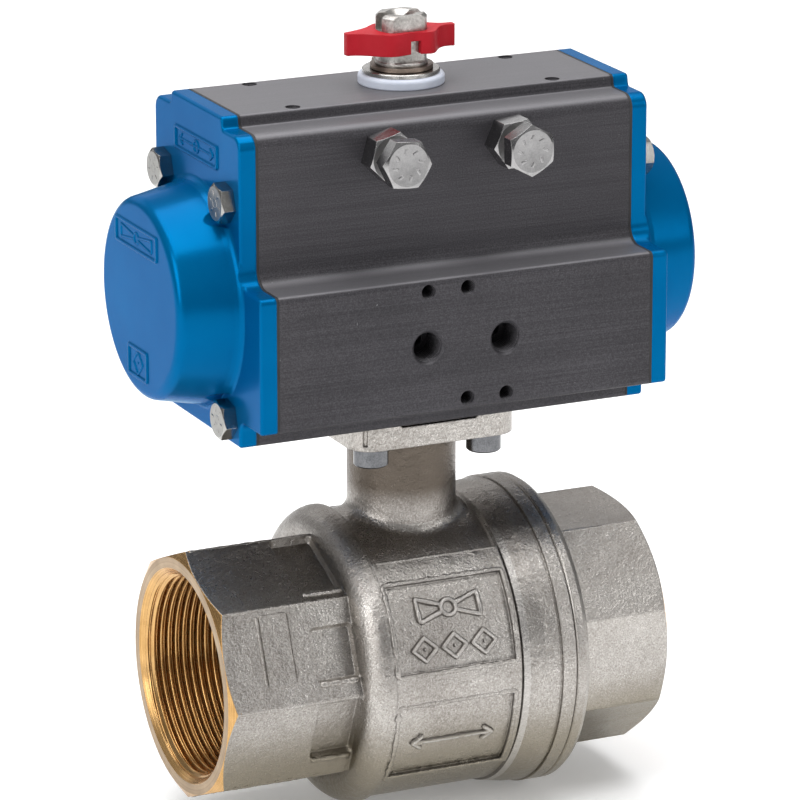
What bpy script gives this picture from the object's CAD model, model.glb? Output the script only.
import math
import bpy
import bmesh
from mathutils import Vector, Matrix, noise as mnoise


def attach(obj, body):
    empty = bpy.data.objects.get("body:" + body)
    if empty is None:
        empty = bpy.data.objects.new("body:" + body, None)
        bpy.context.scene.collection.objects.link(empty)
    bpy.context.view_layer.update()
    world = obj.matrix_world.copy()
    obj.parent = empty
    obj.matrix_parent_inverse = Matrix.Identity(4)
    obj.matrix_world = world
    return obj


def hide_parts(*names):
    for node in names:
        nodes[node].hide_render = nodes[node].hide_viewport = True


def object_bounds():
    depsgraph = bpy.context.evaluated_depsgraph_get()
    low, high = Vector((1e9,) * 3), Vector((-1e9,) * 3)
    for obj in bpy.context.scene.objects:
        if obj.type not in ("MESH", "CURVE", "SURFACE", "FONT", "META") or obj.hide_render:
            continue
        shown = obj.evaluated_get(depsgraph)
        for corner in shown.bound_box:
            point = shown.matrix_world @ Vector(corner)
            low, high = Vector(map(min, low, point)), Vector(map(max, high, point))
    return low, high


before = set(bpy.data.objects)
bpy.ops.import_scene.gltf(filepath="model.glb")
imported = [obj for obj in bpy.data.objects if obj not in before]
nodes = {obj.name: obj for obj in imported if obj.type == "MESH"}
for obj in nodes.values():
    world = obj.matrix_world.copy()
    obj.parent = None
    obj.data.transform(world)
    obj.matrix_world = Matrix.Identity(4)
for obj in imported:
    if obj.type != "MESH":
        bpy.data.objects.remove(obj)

cad_lo, cad_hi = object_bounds()
MM = 0.001
TAU = 2.0 * math.pi

# ----------------------------------------------------------------- node helpers


def material(name):
    m = bpy.data.materials.new(name)
    m.use_nodes = True
    nt = m.node_tree
    nt.nodes.clear()
    out = nt.nodes.new("ShaderNodeOutputMaterial")
    b = nt.nodes.new("ShaderNodeBsdfPrincipled")
    nt.links.new(b.outputs["BSDF"], out.inputs["Surface"])
    return m, nt, b


def node(nt, kind, **inputs):
    n = nt.nodes.new(kind)
    for k, v in inputs.items():
        n.inputs[k].default_value = v
    return n


def obj_coords(nt, scale=(1, 1, 1), source="Object"):
    tc = nt.nodes.new("ShaderNodeTexCoord")
    mp = nt.nodes.new("ShaderNodeMapping")
    mp.inputs["Scale"].default_value = scale
    nt.links.new(tc.outputs[source], mp.inputs["Vector"])
    return mp.outputs["Vector"]


def noise_tex(nt, vec, scale, detail=3.0, rough=0.5, distortion=0.0):
    n = nt.nodes.new("ShaderNodeTexNoise")
    n.inputs["Scale"].default_value = scale
    n.inputs["Detail"].default_value = detail
    n.inputs["Roughness"].default_value = rough
    n.inputs["Distortion"].default_value = distortion
    nt.links.new(vec, n.inputs["Vector"])
    return n.outputs["Fac"]


def ramp(nt, fac, stops, interp="LINEAR"):
    r = nt.nodes.new("ShaderNodeValToRGB")
    cr = r.color_ramp
    cr.interpolation = interp
    cr.elements[0].position, cr.elements[0].color = stops[0][0], (*stops[0][1], 1)
    cr.elements[1].position, cr.elements[1].color = stops[-1][0], (*stops[-1][1], 1)
    for p, c in stops[1:-1]:
        e = cr.elements.new(p)
        e.color = (*c, 1)
    nt.links.new(fac, r.inputs["Fac"])
    return r.outputs["Color"]


def remap(nt, fac, a, b, lo, hi):
    """fac from a..b to lo..hi, clamped."""
    n = nt.nodes.new("ShaderNodeMapRange")
    n.clamp = True
    n.inputs["From Min"].default_value = a
    n.inputs["From Max"].default_value = b
    n.inputs["To Min"].default_value = lo
    n.inputs["To Max"].default_value = hi
    nt.links.new(fac, n.inputs["Value"])
    return n.outputs["Result"]


def smooth(nt, fac, a, b, lo=0.0, hi=1.0):
    n = nt.nodes.new("ShaderNodeMapRange")
    n.interpolation_type = "SMOOTHSTEP"
    n.inputs["From Min"].default_value = a
    n.inputs["From Max"].default_value = b
    n.inputs["To Min"].default_value = lo
    n.inputs["To Max"].default_value = hi
    nt.links.new(fac, n.inputs["Value"])
    return n.outputs["Result"]


def math_node(nt, op, a, b=None, clamp=False):
    n = nt.nodes.new("ShaderNodeMath")
    n.operation = op
    n.use_clamp = clamp
    for i, v in enumerate((a, b)):
        if v is None:
            continue
        if isinstance(v, (int, float)):
            n.inputs[i].default_value = v
        else:
            nt.links.new(v, n.inputs[i])
    return n.outputs[0]


def mix_col(nt, fac, a, b, blend="MIX"):
    n = nt.nodes.new("ShaderNodeMix")
    n.data_type = "RGBA"
    n.blend_type = blend
    for sock, v in ((n.inputs["Factor"], fac), (n.inputs["A"], None), (n.inputs["B"], None)):
        pass
    fac_in = n.inputs[0]
    a_in = [s for s in n.inputs if s.name == "A" and s.type == "RGBA"][0]
    b_in = [s for s in n.inputs if s.name == "B" and s.type == "RGBA"][0]
    if isinstance(fac, (int, float)):
        fac_in.default_value = fac
    else:
        nt.links.new(fac, fac_in)
    for s, v in ((a_in, a), (b_in, b)):
        if isinstance(v, tuple):
            s.default_value = (*v, 1)
        else:
            nt.links.new(v, s)
    return [o for o in n.outputs if o.type == "RGBA"][0]


def bevel_normal(nt, radius, samples=4):
    n = nt.nodes.new("ShaderNodeBevel")
    n.samples = samples
    n.inputs["Radius"].default_value = radius
    return n.outputs["Normal"]


def bump(nt, height, strength, distance, normal=None):
    n = nt.nodes.new("ShaderNodeBump")
    n.inputs["Strength"].default_value = strength
    n.inputs["Distance"].default_value = distance
    nt.links.new(height, n.inputs["Height"])
    if normal is not None:
        nt.links.new(normal, n.inputs["Normal"])
    return n.outputs["Normal"]


def xyz(nt, vec):
    s = nt.nodes.new("ShaderNodeSeparateXYZ")
    nt.links.new(vec, s.inputs[0])
    return s.outputs


def raw_coords(nt):
    tc = nt.nodes.new("ShaderNodeTexCoord")
    return tc.outputs["Object"], tc.outputs["Normal"]


# -------------------------------------------------------------------- materials


def mat_anodised():
    m, nt, b = material("anodised_body")
    pos, nor = raw_coords(nt)
    streak_fine = noise_tex(nt, obj_coords(nt, (22, 5200, 5200)), 1.0, 2.0, 0.6)
    streak_mid = noise_tex(nt, obj_coords(nt, (9, 1900, 1900)), 1.0, 2.0, 0.6)
    streak_wide = noise_tex(nt, obj_coords(nt, (4, 260, 260)), 1.0, 2.0, 0.5)
    grain = noise_tex(nt, obj_coords(nt), 2600.0, 2.0, 0.6)
    cloud = noise_tex(nt, obj_coords(nt), 26.0, 3.0, 0.5)
    tone = math_node(nt, "ADD", math_node(nt, "MULTIPLY", streak_fine, 0.22), math_node(nt, "MULTIPLY", streak_mid, 0.13))
    tone = math_node(nt, "ADD", tone, math_node(nt, "MULTIPLY", streak_wide, 0.07))
    tone = math_node(nt, "ADD", tone, math_node(nt, "MULTIPLY", grain, 0.42))
    tone = math_node(nt, "ADD", tone, math_node(nt, "MULTIPLY", cloud, 0.16))
    col = ramp(nt, tone, [(0.38, (0.026, 0.025, 0.028)), (0.5, (0.045, 0.0425, 0.048)), (0.62, (0.074, 0.071, 0.078))])
    up = smooth(nt, xyz(nt, nor)[2], 0.6, 0.9)
    col = mix_col(nt, math_node(nt, "MULTIPLY", up, 0.55), col, (0.24, 0.235, 0.25))
    speck = noise_tex(nt, obj_coords(nt), 900.0, 1.0, 0.5)
    dust = remap(nt, speck, 0.79, 0.83, 0.0, 0.4)
    col = mix_col(nt, dust, col, (0.30, 0.30, 0.31))
    nt.links.new(col, b.inputs["Base Color"])
    b.inputs["Metallic"].default_value = 0.5
    nt.links.new(remap(nt, tone, 0.35, 0.65, 0.52, 0.44), b.inputs["Roughness"])
    b.inputs["Specular IOR Level"].default_value = 0.45
    h = math_node(nt, "ADD", math_node(nt, "MULTIPLY", streak_fine, 0.35), math_node(nt, "MULTIPLY", streak_mid, 0.2))
    h = math_node(nt, "ADD", h, math_node(nt, "MULTIPLY", grain, 0.5))
    nt.links.new(bump(nt, h, 0.35, 0.00004, bevel_normal(nt, 0.0005)), b.inputs["Normal"])
    return m


def mat_blue():
    m, nt, b = material("blue_cap")
    peel = noise_tex(nt, obj_coords(nt), 420.0, 2.0, 0.5)
    peel_big = noise_tex(nt, obj_coords(nt), 90.0, 2.0, 0.5)
    cloud = noise_tex(nt, obj_coords(nt), 35.0, 3.0, 0.55)
    col = ramp(nt, cloud, [(0.3, (0.0, 0.101, 0.268)), (0.7, (0.0, 0.123, 0.310))])
    speck = noise_tex(nt, obj_coords(nt), 1500.0, 1.0, 0.5)
    col = mix_col(nt, remap(nt, speck, 0.79, 0.84, 0.0, 0.25), col, (0.02, 0.25, 0.58))
    nt.links.new(col, b.inputs["Base Color"])
    b.inputs["Metallic"].default_value = 0.45
    nt.links.new(remap(nt, cloud, 0.3, 0.7, 0.27, 0.20), b.inputs["Roughness"])
    b.inputs["IOR"].default_value = 1.14
    b.inputs["Specular IOR Level"].default_value = 0.5
    b.inputs["Specular Tint"].default_value = (0.02, 0.42, 0.70, 1.0)
    b.inputs["Coat Weight"].default_value = 0.025
    b.inputs["Coat IOR"].default_value = 1.3
    b.inputs["Coat Roughness"].default_value = 0.03
    h = math_node(nt, "ADD", math_node(nt, "MULTIPLY", peel, 0.5), math_node(nt, "MULTIPLY", peel_big, 1.2))
    n = bump(nt, h, 0.5, 0.00006, bevel_normal(nt, 0.0007, 6))
    nt.links.new(n, b.inputs["Normal"])
    nt.links.new(n, b.inputs["Coat Normal"])
    return m


def mat_bolt(name, axis, base=(0.60, 0.59, 0.575)):
    """Bright hardware: forged matt face across the axis, polished flats round it."""
    m, nt, b = material(name)
    pos, nor = raw_coords(nt)
    face = math_node(nt, "ABSOLUTE", xyz(nt, nor)[axis])
    on_face = smooth(nt, face, 0.90, 0.985)
    grain = noise_tex(nt, obj_coords(nt), 2600.0, 3.0, 0.6)
    blotch = noise_tex(nt, obj_coords(nt), 420.0, 3.0, 0.6)
    tone = math_node(nt, "ADD", math_node(nt, "MULTIPLY", grain, 0.5), math_node(nt, "MULTIPLY", blotch, 0.5))
    bright = ramp(nt, tone, [(0.35, tuple(0.80 * c for c in base)), (0.65, tuple(min(1.0, 1.12 * c) for c in base))])
    nt.links.new(bright, b.inputs["Base Color"])
    b.inputs["Metallic"].default_value = 1.0
    rough = math_node(nt, "ADD", remap(nt, tone, 0.3, 0.7, 0.16, 0.26), math_node(nt, "MULTIPLY", on_face, 0.24), clamp=True)
    nt.links.new(rough, b.inputs["Roughness"])
    nt.links.new(bump(nt, tone, 0.5, 0.00006, bevel_normal(nt, 0.00022)), b.inputs["Normal"])
    return m


def mat_metal(name, lo, hi, rough=(0.28, 0.42), grain=1800.0, depth=0.00004, bevel=0.0002, metallic=1.0, streak=None):
    m, nt, b = material(name)
    vec = obj_coords(nt, streak or (1, 1, 1))
    g = noise_tex(nt, vec, grain, 3.0, 0.6)
    c = noise_tex(nt, obj_coords(nt), 160.0, 3.0, 0.55)
    tone = math_node(nt, "ADD", math_node(nt, "MULTIPLY", g, 0.5), math_node(nt, "MULTIPLY", c, 0.5))
    nt.links.new(ramp(nt, tone, [(0.34, lo), (0.66, hi)]), b.inputs["Base Color"])
    b.inputs["Metallic"].default_value = metallic
    nt.links.new(remap(nt, tone, 0.3, 0.7, rough[1], rough[0]), b.inputs["Roughness"])
    nt.links.new(bump(nt, g, 0.5, depth, bevel_normal(nt, bevel)), b.inputs["Normal"])
    return m


def mat_plastic(name, lo, hi, rough=(0.35, 0.5), grain=900.0, depth=0.00002, bevel=0.0003, sss=0.0, spec=0.45):
    m, nt, b = material(name)
    g = noise_tex(nt, obj_coords(nt), grain, 3.0, 0.55)
    c = noise_tex(nt, obj_coords(nt), 120.0, 3.0, 0.5)
    nt.links.new(ramp(nt, c, [(0.32, lo), (0.68, hi)]), b.inputs["Base Color"])
    nt.links.new(remap(nt, g, 0.3, 0.7, rough[0], rough[1]), b.inputs["Roughness"])
    b.inputs["Specular IOR Level"].default_value = spec
    if sss:
        b.inputs["Subsurface Weight"].default_value = sss
        b.inputs["Subsurface Radius"].default_value = (1.0, 0.9, 0.8)
        b.inputs["Subsurface Scale"].default_value = 0.001
    nt.links.new(bump(nt, g, 0.5, depth, bevel_normal(nt, bevel)), b.inputs["Normal"])
    return m


def brass_nodes(nt, pos):
    """Colour, roughness and height of bare turned brass about the X axis."""
    s = xyz(nt, pos)
    rad = math_node(nt, "SQRT", math_node(nt, "ADD", math_node(nt, "MULTIPLY", s[1], s[1]), math_node(nt, "MULTIPLY", s[2], s[2])))
    comb = nt.nodes.new("ShaderNodeCombineXYZ")
    nt.links.new(s[0], comb.inputs[0])
    nt.links.new(rad, comb.inputs[1])
    mp = nt.nodes.new("ShaderNodeMapping")
    mp.inputs["Scale"].default_value = (3600, 3600, 1)
    nt.links.new(comb.outputs[0], mp.inputs["Vector"])
    turned = noise_tex(nt, mp.outputs["Vector"], 1.0, 2.0, 0.6)
    cloud = noise_tex(nt, obj_coords(nt), 140.0, 3.0, 0.55)
    tone = math_node(nt, "ADD", math_node(nt, "MULTIPLY", turned, 0.5), math_node(nt, "MULTIPLY", cloud, 0.5))
    col = ramp(nt, tone, [(0.32, (0.44, 0.25, 0.088)), (0.68, (0.70, 0.435, 0.185))])
    tc = nt.nodes.new("ShaderNodeTexCoord")
    across = smooth(nt, math_node(nt, "ABSOLUTE", xyz(nt, tc.outputs["Normal"])[0]), 0.86, 0.97)
    face = ramp(nt, tone, [(0.32, (0.26, 0.185, 0.115)), (0.68, (0.45, 0.33, 0.21))])
    col = mix_col(nt, across, col, face)
    rough = math_node(nt, "ADD", remap(nt, tone, 0.3, 0.7, 0.32, 0.20), math_node(nt, "MULTIPLY", across, 0.14))
    return col, rough, turned


def mat_brass():
    m, nt, b = material("bare_brass")
    pos, nor = raw_coords(nt)
    col, rough, h = brass_nodes(nt, pos)
    nt.links.new(col, b.inputs["Base Color"])
    b.inputs["Metallic"].default_value = 1.0
    nt.links.new(rough, b.inputs["Roughness"])
    nt.links.new(bump(nt, h, 0.4, 0.00004), b.inputs["Normal"])
    return m


def mat_casting(name, side, grain_depth, fine=1.0):
    """Shot-blasted, nickel-plated brass with its machined end and bores left bare.
    side is -1 for the body (bare at -X), +1 for the end connector (bare at +X)."""
    m, nt, b = material(name)
    pos, nor = raw_coords(nt)
    p, n = xyz(nt, pos), xyz(nt, nor)
    grain = noise_tex(nt, obj_coords(nt), 2500.0 * fine, 3.0, 0.68)
    fleck = noise_tex(nt, obj_coords(nt), 1400.0 * fine, 3.0, 0.7)
    pits = nt.nodes.new("ShaderNodeTexVoronoi")
    pits.feature = "F1"
    pits.inputs["Scale"].default_value = 1150.0 * fine
    nt.links.new(obj_coords(nt), pits.inputs["Vector"])
    pit = pits.outputs["Distance"]
    lump = noise_tex(nt, obj_coords(nt), 230.0, 4.0, 0.6)
    patch = noise_tex(nt, obj_coords(nt), 48.0, 4.0, 0.55, 0.4)
    tone = math_node(nt, "ADD", math_node(nt, "MULTIPLY", grain, 0.42), math_node(nt, "MULTIPLY", fleck, 0.30))
    tone = math_node(nt, "ADD", tone, math_node(nt, "MULTIPLY", lump, 0.08))
    tone = math_node(nt, "ADD", tone, math_node(nt, "MULTIPLY", patch, 0.20))
    col = ramp(nt, tone, [
        (0.38, (0.225, 0.205, 0.184)), (0.45, (0.335, 0.311, 0.286)), (0.50, (0.408, 0.384, 0.358)),
        (0.56, (0.49, 0.466, 0.438)), (0.64, (0.64, 0.615, 0.584)),
    ])
    rad = math_node(nt, "SQRT", math_node(nt, "ADD", math_node(nt, "MULTIPLY", p[1], p[1]), math_node(nt, "MULTIPLY", p[2], p[2])))
    # warm tarnish: darkest in the saddle round the neck and on the flats that face up
    above = smooth(nt, p[2], 0.024, 0.034)
    below_neck = smooth(nt, p[2], 0.066, 0.044)
    saddle = math_node(nt, "MULTIPLY", math_node(nt, "LESS_THAN", rad, 0.0422), math_node(nt, "GREATER_THAN", rad, 0.0390))
    flats = math_node(nt, "LESS_THAN", rad, 0.0376)
    upward = smooth(nt, n[2], 0.80, 0.90)
    flats = math_node(nt, "MULTIPLY", flats, upward)
    rise = smooth(nt, rad, 0.052, 0.043)
    dark = math_node(nt, "MAXIMUM", saddle, flats)
    dark = math_node(nt, "MAXIMUM", dark, math_node(nt, "MULTIPLY", math_node(nt, "GREATER_THAN", p[2], 0.0412), math_node(nt, "MULTIPLY", rise, smooth(nt, p[2], 0.060, 0.044))))
    stain = math_node(nt, "MULTIPLY", math_node(nt, "MULTIPLY", above, below_neck), remap(nt, patch, 0.35, 0.6, 0.72, 1.0))
    strong = math_node(nt, "MULTIPLY", math_node(nt, "MULTIPLY", stain, dark), 0.28)
    col = mix_col(nt, strong, col, (0.30, 0.262, 0.236))
    light = math_node(nt, "MULTIPLY", math_node(nt, "MULTIPLY", stain, smooth(nt, n[2], 0.70, 0.98)), 0.24)
    col = mix_col(nt, light, col, (0.26, 0.215, 0.18))
    neck_tint = math_node(nt, "MULTIPLY", smooth(nt, p[2], 0.043, 0.052), smooth(nt, p[2], 0.0677, 0.0668))
    col = mix_col(nt, math_node(nt, "MULTIPLY", neck_tint, 0.96), col, (0.112, 0.092, 0.074))
    # the lower half of the casting is a little yellower
    under = smooth(nt, p[2], -0.004, -0.024)
    col = mix_col(nt, math_node(nt, "MULTIPLY", under, 0.86), col, (0.262, 0.232, 0.176))
    low_flat = math_node(nt, "MULTIPLY", under, math_node(nt, "LESS_THAN", rad, 0.0376))
    col = mix_col(nt, math_node(nt, "MULTIPLY", low_flat, 0.50), col, (0.19, 0.167, 0.125))
    if side < 0:
        root = math_node(nt, "MULTIPLY", smooth(nt, p[0], -0.0335, -0.0300), smooth(nt, rad, 0.0402, 0.0368))
        col = mix_col(nt, math_node(nt, "MULTIPLY", root, remap(nt, patch, 0.35, 0.6, 0.08, 0.32)), col, (0.13, 0.115, 0.10))
    # grime in the steep sides of raised marks, recesses and ring grooves; worn tops
    radial = math_node(nt, "DIVIDE", math_node(nt, "ADD", math_node(nt, "MULTIPLY", n[1], p[1]), math_node(nt, "MULTIPLY", n[2], p[2])), rad)
    shell = math_node(nt, "MULTIPLY", math_node(nt, "GREATER_THAN", rad, 0.0423), math_node(nt, "LESS_THAN", rad, 0.0439))
    shell = math_node(nt, "MULTIPLY", shell, math_node(nt, "LESS_THAN", p[2], 0.0385))
    steep = math_node(nt, "MULTIPLY", shell, smooth(nt, radial, 0.86, 0.50))
    col = mix_col(nt, math_node(nt, "MULTIPLY", steep, 0.72), col, (0.085, 0.078, 0.072))
    tops = math_node(nt, "MULTIPLY", math_node(nt, "GREATER_THAN", rad, 0.04315), math_node(nt, "LESS_THAN", rad, 0.0437))
    tops = math_node(nt, "MULTIPLY", tops, math_node(nt, "MULTIPLY", shell, smooth(nt, radial, 0.90, 0.99)))
    tops = math_node(nt, "MULTIPLY", tops, math_node(nt, "LESS_THAN", math_node(nt, "ABSOLUTE", p[0]), 0.0205))
    col = mix_col(nt, math_node(nt, "MULTIPLY", tops, 0.45), col, (0.62, 0.60, 0.58))
    # bare brass: machined end, its chamfer, and everything inside the bores
    inside = math_node(nt, "LESS_THAN", rad, 0.0316)
    facing = math_node(nt, "GREATER_THAN", math_node(nt, "MULTIPLY", n[0], side), 0.22)
    at_end = math_node(nt, "GREATER_THAN", math_node(nt, "MULTIPLY", p[0], side), 0.0664)
    bare = math_node(nt, "MAXIMUM", inside, math_node(nt, "MULTIPLY", facing, at_end))
    bcol, brough, bh = brass_nodes(nt, pos)
    nt.links.new(mix_col(nt, bare, col, bcol), b.inputs["Base Color"])
    b.inputs["Metallic"].default_value = 1.0
    crough = remap(nt, tone, 0.38, 0.62, 0.40, 0.22)
    mixr = nt.nodes.new("ShaderNodeMix")
    nt.links.new(bare, mixr.inputs[0])
    nt.links.new(crough, mixr.inputs[2])
    nt.links.new(brough, mixr.inputs[3])
    nt.links.new(mixr.outputs[0], b.inputs["Roughness"])
    h = math_node(nt, "ADD", math_node(nt, "MULTIPLY", grain, 0.75), math_node(nt, "MULTIPLY", pit, 0.5))
    h = math_node(nt, "ADD", h, math_node(nt, "MULTIPLY", fleck, 1.1))
    h = math_node(nt, "ADD", h, math_node(nt, "MULTIPLY", lump, 3.8))
    keep = math_node(nt, "SUBTRACT", 1.0, bare)
    h = math_node(nt, "MULTIPLY", h, keep)
    h = math_node(nt, "ADD", h, math_node(nt, "MULTIPLY", math_node(nt, "MULTIPLY", bh, bare), 0.35))
    nt.links.new(bump(nt, h, 0.8, grain_depth, bevel_normal(nt, 0.0006, 6)), b.inputs["Normal"])
    return m


M = {
    "anodised": mat_anodised(),
    "blue": mat_blue(),
    "bolt_y": mat_bolt("stop_hardware", 1, (0.36, 0.355, 0.355)),
    "bolt_x": mat_bolt("cap_hardware", 0, (0.38, 0.375, 0.36)),
    "screw": mat_metal("socket_screw_steel", (0.075, 0.078, 0.085), (0.19, 0.192, 0.20), (0.18, 0.30), 2200.0),
    "pinion": mat_metal("nickel_plated_steel", (0.27, 0.255, 0.24), (0.66, 0.64, 0.61), (0.28, 0.50), 1100.0, 0.00014, 0.0004),
    "washer": mat_metal("washer_steel", (0.28, 0.27, 0.26), (0.50, 0.49, 0.47), (0.18, 0.30), 2400.0),
    "circlip": mat_metal("phosphated_spring_steel", (0.16, 0.12, 0.095), (0.30, 0.24, 0.20), (0.30, 0.42), 2400.0),
    "ring": mat_plastic("white_acetal", (0.54, 0.58, 0.67), (0.62, 0.66, 0.75), (0.38, 0.5), 800.0, 0.00002, 0.0004, 0.15),
    "red": mat_plastic("red_indicator", (0.40, 0.004, 0.012), (0.48, 0.007, 0.020), (0.46, 0.58), 1200.0, 0.00003, 0.0005, 0.0, 0.25),
    "rubber": mat_plastic("black_rubber", (0.012, 0.012, 0.013), (0.024, 0.024, 0.025), (0.55, 0.7), 1500.0),
    "acetal": mat_plastic("natural_acetal", (0.72, 0.71, 0.66), (0.80, 0.79, 0.75), (0.4, 0.5), 900.0, 0.00002, 0.0003, 0.1),
    "ptfe": mat_plastic("ptfe", (0.80, 0.80, 0.79), (0.88, 0.88, 0.87), (0.42, 0.52), 700.0, 0.00002, 0.0003, 0.15),
    "cast_al": mat_metal("die_cast_aluminium", (0.44, 0.44, 0.45), (0.62, 0.62, 0.62), (0.36, 0.5), 900.0, 0.00005),
    "chrome": mat_metal("chrome_plate", (0.70, 0.71, 0.73), (0.80, 0.81, 0.82), (0.05, 0.09), 900.0, 0.000004, 0.0003),
    "zinc": mat_metal("zinc_steel", (0.46, 0.46, 0.45), (0.62, 0.61, 0.59), (0.3, 0.42)),
    "brass": mat_brass(),
    "casting": mat_casting("nickel_brass_casting", -1, 0.00013),
    "casting_r": mat_casting("nickel_brass_connector", 1, 0.00008, 1.25),
}

FINISH = {
    "actuator_body": "anodised", "end_cap_left": "blue", "end_cap_right": "blue",
    "gasket_left": "rubber", "gasket_right": "rubber",
    "cap_bolts_left": "bolt_x", "cap_bolts_right": "bolt_x",
    "piston_left": "cast_al", "piston_right": "cast_al",
    "piston_oring_left": "rubber", "piston_oring_right": "rubber",
    "guide_band_left": "acetal", "guide_band_right": "acetal",
    "rack_pad_left": "acetal", "rack_pad_right": "acetal",
    "pinion": "pinion", "stop_cam": "zinc", "pinion_bush_top": "acetal", "pinion_bush_bottom": "acetal",
    "pinion_oring_top": "rubber", "pinion_oring_bottom": "rubber",
    "thrust_ring": "ring", "thrust_washer": "washer", "circlip": "circlip",
    "position_indicator": "red", "drive_adaptor": "zinc",
    "stop_bolt_left": "bolt_y", "stop_bolt_right": "bolt_y",
    "stop_nut_left": "bolt_y", "stop_nut_right": "bolt_y",
    "valve_body": "casting", "end_connector": "casting_r", "gland_nut": "brass",
    "ball": "chrome", "ball_seat_left": "ptfe", "ball_seat_right": "ptfe", "body_joint_seal": "ptfe",
    "valve_stem": "brass", "stem_thrust_washer": "ptfe", "stem_orings": "rubber", "gland_packing": "ptfe",
    "pad_screws": "screw",
}
for name, ob in nodes.items():
    mat = M[FINISH[name]]
    if not ob.data.materials:
        ob.data.materials.append(mat)
    for i in range(len(ob.material_slots)):
        ob.material_slots[i].link = "OBJECT"
        ob.material_slots[i].material = mat

# --------------------------------------------------------------- mesh helpers


def new_object(name, bm, mat, body, smooth_angle=40.0):
    bmesh.ops.remove_doubles(bm, verts=bm.verts, dist=1e-7)
    bmesh.ops.recalc_face_normals(bm, faces=bm.faces)
    me = bpy.data.meshes.new(name)
    bm.to_mesh(me)
    bm.free()
    me.materials.append(mat)
    for f in me.polygons:
        f.use_smooth = True
    me.set_sharp_from_angle(angle=math.radians(smooth_angle))
    ob = bpy.data.objects.new(name, me)
    bpy.context.scene.collection.objects.link(ob)
    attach(ob, body)
    return ob


def tube_grid(bm, place, rows, cols, radius_in, radius_out):
    """Closed ring of metal: radius_in(i, j) and radius_out(i, j) give the two walls,
    place(i, angle, r) gives the point. rows+1 stations by cols angles."""
    inner, outer = [], []
    for i in range(rows + 1):
        ri, ro = [], []
        for j in range(cols):
            a = TAU * j / cols
            ri.append(bm.verts.new(place(i, a, radius_in(i, a))))
            ro.append(bm.verts.new(place(i, a, radius_out(i, a))))
        inner.append(ri)
        outer.append(ro)
    for i in range(rows):
        for j in range(cols):
            k = (j + 1) % cols
            bm.faces.new((inner[i][j], inner[i + 1][j], inner[i + 1][k], inner[i][k]))
            bm.faces.new((outer[i][j], outer[i][k], outer[i + 1][k], outer[i + 1][j]))
    for j in range(cols):
        k = (j + 1) % cols
        bm.faces.new((inner[0][j], inner[0][k], outer[0][k], outer[0][j]))
        bm.faces.new((inner[rows][j], outer[rows][j], outer[rows][k], inner[rows][k]))


def solid_grid(bm, place, rows, cols, radius):
    """Closed solid of revolution-like grid with end caps."""
    grid = []
    for i in range(rows + 1):
        grid.append([bm.verts.new(place(i, TAU * j / cols, radius(i, TAU * j / cols))) for j in range(cols)])
    for i in range(rows):
        for j in range(cols):
            k = (j + 1) % cols
            bm.faces.new((grid[i][j], grid[i][k], grid[i + 1][k], grid[i + 1][j]))
    for row, flip in ((grid[0], True), (grid[rows], False)):
        c = Vector((0, 0, 0))
        for v in row:
            c += v.co
        cv = bm.verts.new(c / cols)
        for j in range(cols):
            k = (j + 1) % cols
            bm.faces.new((row[k], row[j], cv) if flip else (row[j], row[k], cv))


def thread_wave(t):
    """Whitworth-like profile over one pitch, 0 at the crest and 1 at the root."""
    t = abs((t % 1.0) - 0.5) * 2.0          # 1 at the ends (roots), 0 at mid (crest)
    return min(1.0, max(0.0, (t - 0.14) / 0.72))


def pipe_thread(name, side):
    """G2 female thread crests inside one end, side -1 at -X and +1 at +X."""
    pitch, r_root, r_crest, embed = 2.309, 29.74, 28.33, 29.95
    x_mouth, x_end = 67.9, 43.2
    rows, cols = 170, 120
    step = (x_mouth - x_end) / rows

    def depth(i):
        return x_mouth - i * step

    def r_in(i, a):
        x = depth(i)
        w = thread_wave(x / pitch - side * a / TAU)
        run_out = min(1.0, max(0.0, (x - x_end - 0.2) / 2.6))
        r = r_root - (r_root - r_crest) * (1.0 - w) * run_out
        return min(r_root + 0.03, max(r, 29.8 - (x_mouth - x))) * MM

    def r_out(i, a):
        return embed * MM if 0 < i else 29.82 * MM

    def place(i, a, r):
        return Vector((side * depth(i) * MM, r * math.cos(a), r * math.sin(a)))

    bm = bmesh.new()
    tube_grid(bm, place, rows, cols, r_in, r_out)
    return new_object(name, bm, M["brass"], "housing", 60.0)


pipe_thread("inlet_pipe_thread", -1)
pipe_thread("outlet_pipe_thread", 1)


def hole_threads(name, centres, axis, depth, r_wall, r_crest, pitch, mat, start=0.8):
    """Female thread crests in straight holes. axis is the direction into the hole."""
    bm = bmesh.new()
    d = Vector(axis)
    u = d.orthogonal().normalized()
    v = d.cross(u)
    rows = int((depth - start) / pitch * 8)
    cols = 40
    for c in centres:
        c = Vector(c) * MM

        def r_in(i, a):
            s = start + (depth - start) * i / rows
            w = thread_wave(s / pitch - a / TAU)
            fade = min(1.0, i / 6.0)
            return (r_wall - 0.03 - (r_wall - r_crest) * (1.0 - w) * fade) * MM

        def r_out(i, a):
            return (r_wall + 0.06) * MM

        def place(i, a, r):
            s = start + (depth - start) * i / rows
            return c + d * s * MM + (u * math.cos(a) + v * math.sin(a)) * r

        tube_grid(bm, place, rows, cols, r_in, r_out)
    return new_object(name, bm, mat, "housing", 60.0)


hole_threads("air_port_threads", [(-12, -43.7, 101.9), (12, -43.7, 101.9)], (0, 1, 0), 9.4, 4.28, 3.92, 0.907,
             M["anodised"], 0.85)
hole_threads("solenoid_hole_threads", [(-12, -43.7, 117.9), (0, -43.7, 117.9), (0, -43.7, 85.9), (12, -43.7, 85.9)],
             (0, 1, 0), 8.6, 2.1, 1.86, 0.8, M["anodised"], 0.5)
hole_threads("top_hole_threads", [(sx * 40, sy * 15, 167.0) for sx in (-1, 1) for sy in (-1, 1)],
             (0, 0, -1), 7.2, 2.1, 1.86, 0.8, M["anodised"], 0.5)


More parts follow.
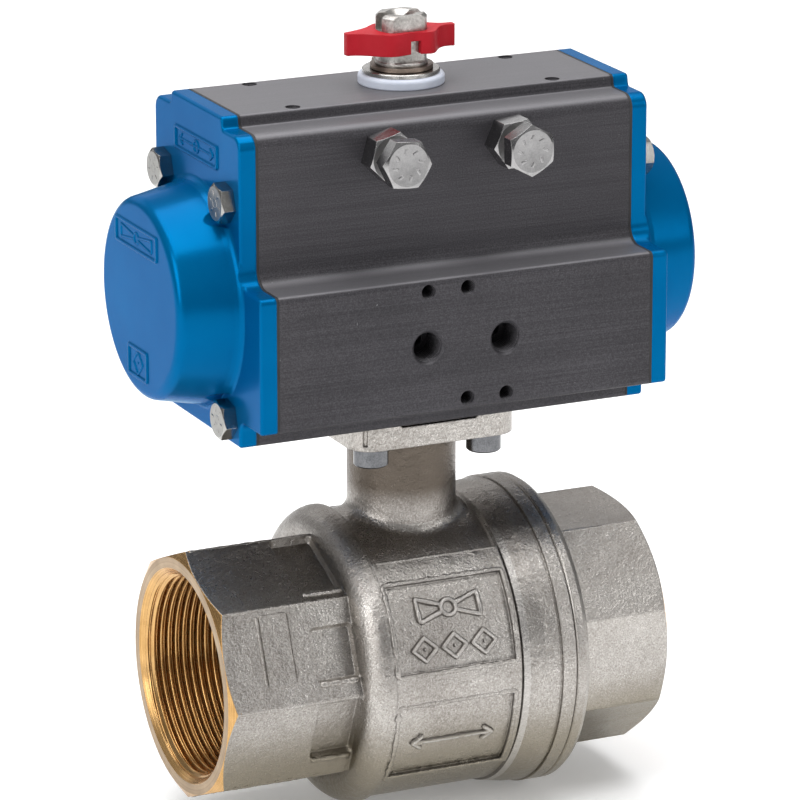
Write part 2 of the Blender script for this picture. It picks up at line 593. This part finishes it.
def hex_radius(a, apothem, turn):
    t = (a - turn) % (math.pi / 3.0)
    return apothem / math.cos(t - math.pi / 6.0)


def hex_head(bm, to_world, apothem, h, turn, face_r, cup=0.0, washer=True, cols=72):
    """Hex head standing on h=0 with its face at h; turn is the angle of one corner.
    The face has a chamfer cone and a shallow forged dish."""
    rings = []
    profile = [("w", 0.0), ("w", 0.25), ("hex", 0.25), ("hex", 1.0), ("face", 0.0), ("dish", 0.86), ("dish", 0.7), ("dish", 0.35)]
    for kind, t in profile:
        ring = []
        for j in range(cols):
            a = TAU * j / cols + turn
            rh = hex_radius(a, apothem, turn)
            if kind == "w":
                r, z = (apothem * 0.97 if washer else rh), t if washer else 0.0
            elif kind == "hex":
                r = rh
                z = t if t < 0.5 else h - max(0.0, (rh - face_r)) * math.tan(math.radians(30.0))
            elif kind == "face":
                r, z = min(face_r, rh), h
            else:
                r, z = face_r * t, h - cup * (1.0 - t)
            ring.append(bm.verts.new(to_world(r * math.cos(a), r * math.sin(a), z)))
        rings.append(ring)
    for i in range(len(rings) - 1):
        for j in range(cols):
            k = (j + 1) % cols
            bm.faces.new((rings[i][j], rings[i][k], rings[i + 1][k], rings[i + 1][j]))
    for ring, z in ((rings[0], 0.0), (rings[-1], h - cup)):
        c = bm.verts.new(to_world(0, 0, z))
        for j in range(cols):
            bm.faces.new((ring[j], ring[(j + 1) % cols], c))


def stroke(bm, pts, width, height, put, closed=False, step=0.5, sides=6, wobble=0.0, seed=0.0):
    """Raised cast line along 2-D points, half-round on top and sunk at its foot.
    put(u, v, h) maps the flat drawing and height to the surface."""
    path = []
    n = len(pts)
    for i in range(n if closed else n - 1):
        a, c = Vector(pts[i]), Vector(pts[(i + 1) % n])
        m = max(1, int(round((c - a).length / step)))
        for k in range(m):
            path.append(a.lerp(c, k / m))
    if not closed:
        path.append(Vector(pts[-1]))
    m = len(path)
    rings = []
    for i, p in enumerate(path):
        prev = path[(i - 1) % m] if closed or i > 0 else p
        nxt = path[(i + 1) % m] if closed or i < m - 1 else p
        t = (nxt - prev)
        t = t.normalized() if t.length > 1e-9 else Vector((1, 0))
        nrm = Vector((-t.y, t.x))
        end = 1.0
        if not closed:
            d = min(i, m - 1 - i) * step
            end = min(1.0, math.sqrt(max(0.0, 1.0 - (1.0 - min(1.0, (d + 0.12) / (width * 0.5))) ** 2)))
        w = 1.0
        if wobble:
            w = 1.0 + wobble * (mnoise.noise(Vector((p.x * 0.55 + seed, p.y * 0.55, seed * 1.7))))
        ring = []
        for s in range(sides + 1):
            a = math.pi * s / sides
            ring.append((p + nrm * (math.cos(a) * width * 0.5 * end * w), height * w * math.sin(a) * max(end, 0.25)))
        foot = -0.35
        ring = [(ring[0][0], foot)] + ring + [(ring[-1][0], foot)]
        rings.append([bm.verts.new(put(q.x, q.y, h)) for q, h in ring])
    cols = len(rings[0])
    last = m if closed else m - 1
    for i in range(last):
        a, c = rings[i], rings[(i + 1) % m]
        for s in range(cols):
            k = (s + 1) % cols
            bm.faces.new((a[s], a[k], c[k], c[s]))
    if not closed:
        bm.faces.new(rings[0])
        bm.faces.new(list(reversed(rings[-1])))


def arc_pts(cx, cy, r, a0, a1, n):
    return [(cx + r * math.cos(math.radians(a0 + (a1 - a0) * i / n)), cy + r * math.sin(math.radians(a0 + (a1 - a0) * i / n)))
            for i in range(n + 1)]


# ---------------------------------------------- stop bolts with real M8 threads
def stop_bolt(name, cad, body, x, turn):
    z0 = 155.0
    head_back, head_front, tip = -40.3, -45.6, -8.1
    h = head_back - head_front

    def to_world(u, v, s):
        return Vector(((x + u) * MM, (head_back - s) * MM, (z0 + v) * MM))

    bm = bmesh.new()
    hex_head(bm, to_world, 6.5, h, math.radians(turn), 6.0, cup=0.55)
    # forged dashes round the face
    for k in range(8):
        a = math.radians(turn + 14 + 45 * k)
        c, s = math.cos(a), math.sin(a)
        stroke(bm, [(3.1 * c - 0.45 * s, 3.1 * s + 0.45 * c), (4.7 * c + 0.3 * s, 4.7 * s - 0.3 * c)], 0.85, 0.26,
               lambda u, v, t: to_world(u, v, h - 0.28 + t), step=0.25, sides=5)
    # threaded shank
    pitch, r_maj, r_min = 1.25, 3.97, 3.25
    length = tip - head_back
    rows = int(length / pitch * 8)

    def radius(i, a):
        s = length * i / rows
        w = thread_wave(s / pitch - a / TAU + 0.3)
        r = r_maj - (r_maj - r_min) * w
        r = min(r, r_maj - 0.9 + (length - s) * 1.0) if length - s < 0.9 else r
        return max(0.4, r) * MM if s > 0.9 else 3.3 * MM

    def place(i, a, r):
        s = length * i / rows
        return Vector((x * MM + r * math.cos(a), (head_back - 0.05 + s * (length + 0.05) / length) * MM, z0 * MM + r * math.sin(a)))

    solid_grid(bm, place, rows, 40, radius)
    ob = new_object(name, bm, M["bolt_y"], body, 25.0)
    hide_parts(cad)
    return ob


stop_bolt("stop_bolt_left_threaded", "stop_bolt_left", "stop_bolt_left", -19.0, -4.0)
stop_bolt("stop_bolt_right_threaded", "stop_bolt_right", "stop_bolt_right", 19.0, 31.0)


# -------------------------------------------- forged ticks on the cap bolts
for label, side in (("left", -1), ("right", 1)):
    bm = bmesh.new()
    face_x = side * 66.72
    for n, (cy, cz) in enumerate(((-22, 82), (22, 82), (-22, 144), (22, 144))):
        def on_head(u, v, t, cy=cy, cz=cz):
            return Vector(((face_x + side * (t - 0.05)) * MM, (cy + u) * MM, (cz + v) * MM))
        for k in range(6):
            a = math.radians(12 + 31 * n + 60 * k)
            c, s = math.cos(a), math.sin(a)
            stroke(bm, [(2.3 * c, 2.3 * s), (3.7 * c, 3.7 * s)], 0.5, 0.2, on_head, step=0.25, sides=5)
        stroke(bm, arc_pts(0, 0, 1.3, 0, 360, 14)[:-1], 0.4, 0.14, on_head, closed=True, step=0.3, sides=4)
    new_object("cap_bolt_ticks_" + label, bm, M["bolt_x"], "housing", 40.0)


# ------------------------------------------------ relief on the brass casting
def barrel(r):
    """Drawing plane wrapped on the barrel's front: u is X, v is the arc upwards."""
    def put(u, v, h):
        a = v / r
        return Vector((u * MM, -(r + h) * math.cos(a) * MM, (r + h) * math.sin(a) * MM))
    return put


def barrel_back(r):
    def put(u, v, h):
        a = v / r
        return Vector((u * MM, (r + h) * math.cos(a) * MM, (r + h) * math.sin(a) * MM))
    return put


def valve_symbol(bm, put, cu, cv, w, hgt):
    """The general drawing sign for a valve: two triangles that meet at a small ring."""
    k = 2.3
    for side in (-1, 1):
        stroke(bm, [(cu + side * w, cv - hgt), (cu + side * w, cv + hgt), (cu + side * k * 0.9, cv + 0.9)], 1.7, 1.05, put, wobble=0.25, seed=2.0)
        stroke(bm, [(cu + side * w, cv - hgt), (cu + side * k * 0.9, cv - 0.9)], 1.7, 1.05, put, wobble=0.25, seed=3.0)
    stroke(bm, arc_pts(cu, cv, k, 0, 360, 20)[:-1], 1.6, 1.05, put, closed=True)


def diamond(bm, put, cu, cv, w, h, width=1.5, height=1.0):
    stroke(bm, [(cu - w, cv), (cu, cv + h), (cu + w, cv), (cu, cv - h)], width, height, put, closed=True, step=0.4)
    stroke(bm, [(cu - 0.3, cv), (cu + 0.3, cv)], width, height * 0.8, put, step=0.2)


def flow_arrow(bm, put, cu, cv, half):
    stroke(bm, [(cu - half, cv), (cu + half, cv)], 1.7, 0.90, put, wobble=0.25, seed=5.0)
    for s in (-1, 1):
        stroke(bm, [(cu + s * (half - 3.2), cv + 2.4), (cu + s * half, cv), (cu + s * (half - 3.2), cv - 2.4)], 1.7, 0.90, put)


def rounded_rect(u0, v0, u1, v1, r):
    pts = []
    for cx, cy, a in ((u1 - r, v1 - r, 0), (u0 + r, v1 - r, 90), (u0 + r, v0 + r, 180), (u1 - r, v0 + r, 270)):
        pts += arc_pts(cx, cy, r, a, a + 90, 5)
    return pts


def deg(a, r=42.7):
    return math.radians(a) * r


for label, wrap in (("front", barrel), ("back", barrel_back)):
    bm = bmesh.new()
    rec, low = wrap(42.55), wrap(42.8)
    mid_u, low_u = -2.35, -2.85
    valve_symbol(bm, rec, mid_u, deg(31.6), 9.6, 3.5)
    for k in range(3):
        diamond(bm, rec, mid_u + 9.3 * (k - 1), deg(16.8), 3.7, 3.4)
    flow_arrow(bm, low, low_u, deg(-21.0), 12.5)
    # burred cast edges of the pad and of its two recesses
    edge = wrap(43.8)
    e = 43.8
    stroke(bm, rounded_rect(-21.0, deg(7.6, e), 16.6, deg(43.3, e), 0.9), 1.2, 0.24, edge, closed=True, wobble=0.9, seed=1.3, step=0.35)
    stroke(bm, rounded_rect(-21.0, deg(-38.1, e), 15.9, deg(-4.0, e), 0.9), 1.2, 0.20, edge, closed=True, wobble=0.9, seed=4.1, step=0.35)
    stroke(bm, [(-20.4, deg(52.5, e)), (17.0, deg(52.5, e))], 1.0, 0.22, edge, wobble=0.9, seed=7.7, step=0.35)
    new_object("casting_relief_" + label, bm, M["casting"], "housing", 50.0)



def corner(angle, r):
    """u is X along an octagon corner, v runs round it."""
    ca, sa = math.cos(math.radians(angle)), math.sin(math.radians(angle))

    def put(u, v, h):
        return Vector((u * MM, (-(r + h) * ca + v * sa) * MM, ((r + h) * sa + v * ca) * MM))
    return put


oct_r = 68.6 / 2.0 / math.cos(math.radians(22.5))
bm = bmesh.new()
for k in range(8):
    stroke(bm, [(-66.6, 0.0), (-30.0, 0.0)], 1.1, 0.20, corner(45.0 * k, oct_r - 0.16), step=0.4, sides=5, wobble=0.6, seed=2.3 + 1.9 * k)
for a, way, low_edge in ((22.5, 1, -9.3), (-22.5, 1, -7.9), (157.5, -1, -9.3), (202.5, -1, -7.9), (67.5, 1, -11.0), (112.5, -1, -11.0)):
    stroke(bm, [(-41.6, way * low_edge), (-29.4, way * low_edge)], 1.8, 0.60, corner(a, 34.28), step=0.35, sides=7, wobble=0.5, seed=a * 0.1)
for a, way in ((22.5, 1), (202.5, 1)):
    for u in (-57.6, -48.0):
        stroke(bm, [(u, -8.0 * way + 0.5), (u, 12.0 * way)], 0.9, 0.42, corner(a, 34.28), step=0.35, sides=5, wobble=0.7, seed=a + u)
new_object("casting_edges_body", bm, M["casting"], "housing", 60.0)
bm = bmesh.new()
for k in range(8):
    stroke(bm, [(39.6, 0.0), (66.6, 0.0)], 0.9, 0.12, corner(17.5 + 45.0 * k, oct_r - 0.12), step=0.4, sides=5, wobble=0.5, seed=5.3 + 1.7 * k)
new_object("casting_edges_connector", bm, M["casting_r"], "housing", 60.0)

# plain signs in the blank frames of the end caps
for label, side in (("left", -1), ("right", 1)):
    bm = bmesh.new()

    def on_plate(u, v, h, side=side):
        return Vector((side * (62.68 + h) * MM, u * MM, (154.7 + v) * MM))

    def on_dome(u, v, h, side=side):
        return Vector((side * (80.38 + h) * MM, (1.5 + u) * MM, (112.0 + v) * MM))

    stroke(bm, [(-12.0, 0.0), (12.0, 0.0)], 0.9, 0.34, on_plate)
    for s in (-1, 1):
        stroke(bm, [(s * 9.6, 1.6), (s * 12.0, 0.0), (s * 9.6, -1.6)], 0.9, 0.34, on_plate, step=0.4)
    stroke(bm, arc_pts(0, 0, 1.7, 0, 360, 16)[:-1], 0.8, 0.34, on_plate, closed=True, step=0.4)
    for s in (-1, 1):
        stroke(bm, [(s * 11.0, 16.2), (s * 11.0, 19.8), (s * 1.6, 18.5)], 0.9, 0.32, on_dome, step=0.4)
        stroke(bm, [(s * 11.0, 16.2), (s * 1.6, 17.5)], 0.9, 0.32, on_dome, step=0.4)
    stroke(bm, arc_pts(0, 18.0, 1.5, 0, 360, 16)[:-1], 0.9, 0.32, on_dome, closed=True, step=0.4)
    diamond(bm, on_dome, 0.0, -18.0, 3.4, 3.4, 0.9, 0.32)
    new_object("cap_relief_" + label, bm, M["blue"], "housing", 50.0)

# ------------------------------------------------------------------------ stage
floor_z = cad_lo.z


def plane(name, size, centre, mat, rot=(0, 0, 0)):
    me = bpy.data.meshes.new(name)
    s = size
    me.from_pydata([(-s[0], -s[1], 0), (s[0], -s[1], 0), (s[0], s[1], 0), (-s[0], s[1], 0)], [], [(0, 1, 2, 3)])
    me.materials.append(mat)
    ob = bpy.data.objects.new(name, me)
    ob.location = centre
    ob.rotation_euler = rot
    bpy.context.scene.collection.objects.link(ob)
    return ob


fm, fnt, fb = material("floor")
fcol = ramp(fnt, noise_tex(fnt, obj_coords(fnt), 3.0, 2.0), [(0.3, (0.93, 0.93, 0.93)), (0.7, (0.95, 0.95, 0.95))])
fnt.links.new(fcol, fb.inputs["Base Color"])
fb.inputs["Roughness"].default_value = 0.6
fb.inputs["Emission Color"].default_value = (1, 1, 1, 1)
fb.inputs["Emission Strength"].default_value = 0.18
fb.inputs["Specular IOR Level"].default_value = 0.2
plane("floor", (4.0, 4.0), (0, 0, floor_z - 0.0002), fm)

world = bpy.data.worlds.new("studio")
world.use_nodes = True
wnt = world.node_tree
wnt.nodes.clear()
wout = wnt.nodes.new("ShaderNodeOutputWorld")
wbg = wnt.nodes.new("ShaderNodeBackground")
wtc = wnt.nodes.new("ShaderNodeTexCoord")
wsep = wnt.nodes.new("ShaderNodeSeparateXYZ")
wnt.links.new(wtc.outputs["Generated"], wsep.inputs[0])
wcol = ramp(wnt, wsep.outputs[2], [(0.0, (0.20, 0.20, 0.21)), (0.12, (0.30, 0.30, 0.31)), (0.40, (0.72, 0.72, 0.73)), (1.0, (0.80, 0.80, 0.80))])
wnt.links.new(wcol, wbg.inputs["Color"])
wbg.inputs["Strength"].default_value = 0.50
wnt.links.new(wbg.outputs[0], wout.inputs["Surface"])
bpy.context.scene.world = world


def area(name, loc, aim, size, power, color=(1, 1, 1), spread=math.pi):
    ld = bpy.data.lights.new(name, "AREA")
    ld.shape = "RECTANGLE"
    ld.size, ld.size_y = size
    ld.energy = power
    ld.color = color
    ob = bpy.data.objects.new(name, ld)
    ob.location = loc
    ob.rotation_euler = (Vector(aim) - Vector(loc)).to_track_quat("-Z", "Y").to_euler()
    bpy.context.scene.collection.objects.link(ob)
    return ob


area("softbox_top", (-0.10, 0.05, 1.7), (0, 0.05, 0.05), (2.0, 2.0), 42.0)
area("softbox_back", (0.15, 1.9, 0.80), (0, 0, 0.06), (2.4, 0.8), 4.5)
area("softbox_left", (-1.15, -0.45, 0.55), (0, 0, 0.06), (0.6, 0.9), 6.0)
area("softbox_right", (0.95, -1.05, 0.55), (0, 0, 0.04), (0.5, 0.6), 3.0)

# ----------------------------------------------------------------------- camera
cd = bpy.data.cameras.new("camera")
cam = bpy.data.objects.new("camera", cd)
bpy.context.scene.collection.objects.link(cam)
cam.location = (-0.614265, -1.314463, 0.509134)
cam.rotation_euler = (math.radians(90.0 - 16.6586), 0.0, math.radians(-25.0579))
cd.lens = 237.96
cd.sensor_width = 36.0
cd.shift_x = -0.002575
cd.shift_y = -0.006675
cd.clip_start, cd.clip_end = 0.05, 50.0
bpy.context.scene.camera = cam

sc = bpy.context.scene
sc.view_settings.view_transform = "Standard"
sc.view_settings.look = "None"
sc.view_settings.exposure = 0.0
sc.view_settings.gamma = 1.0
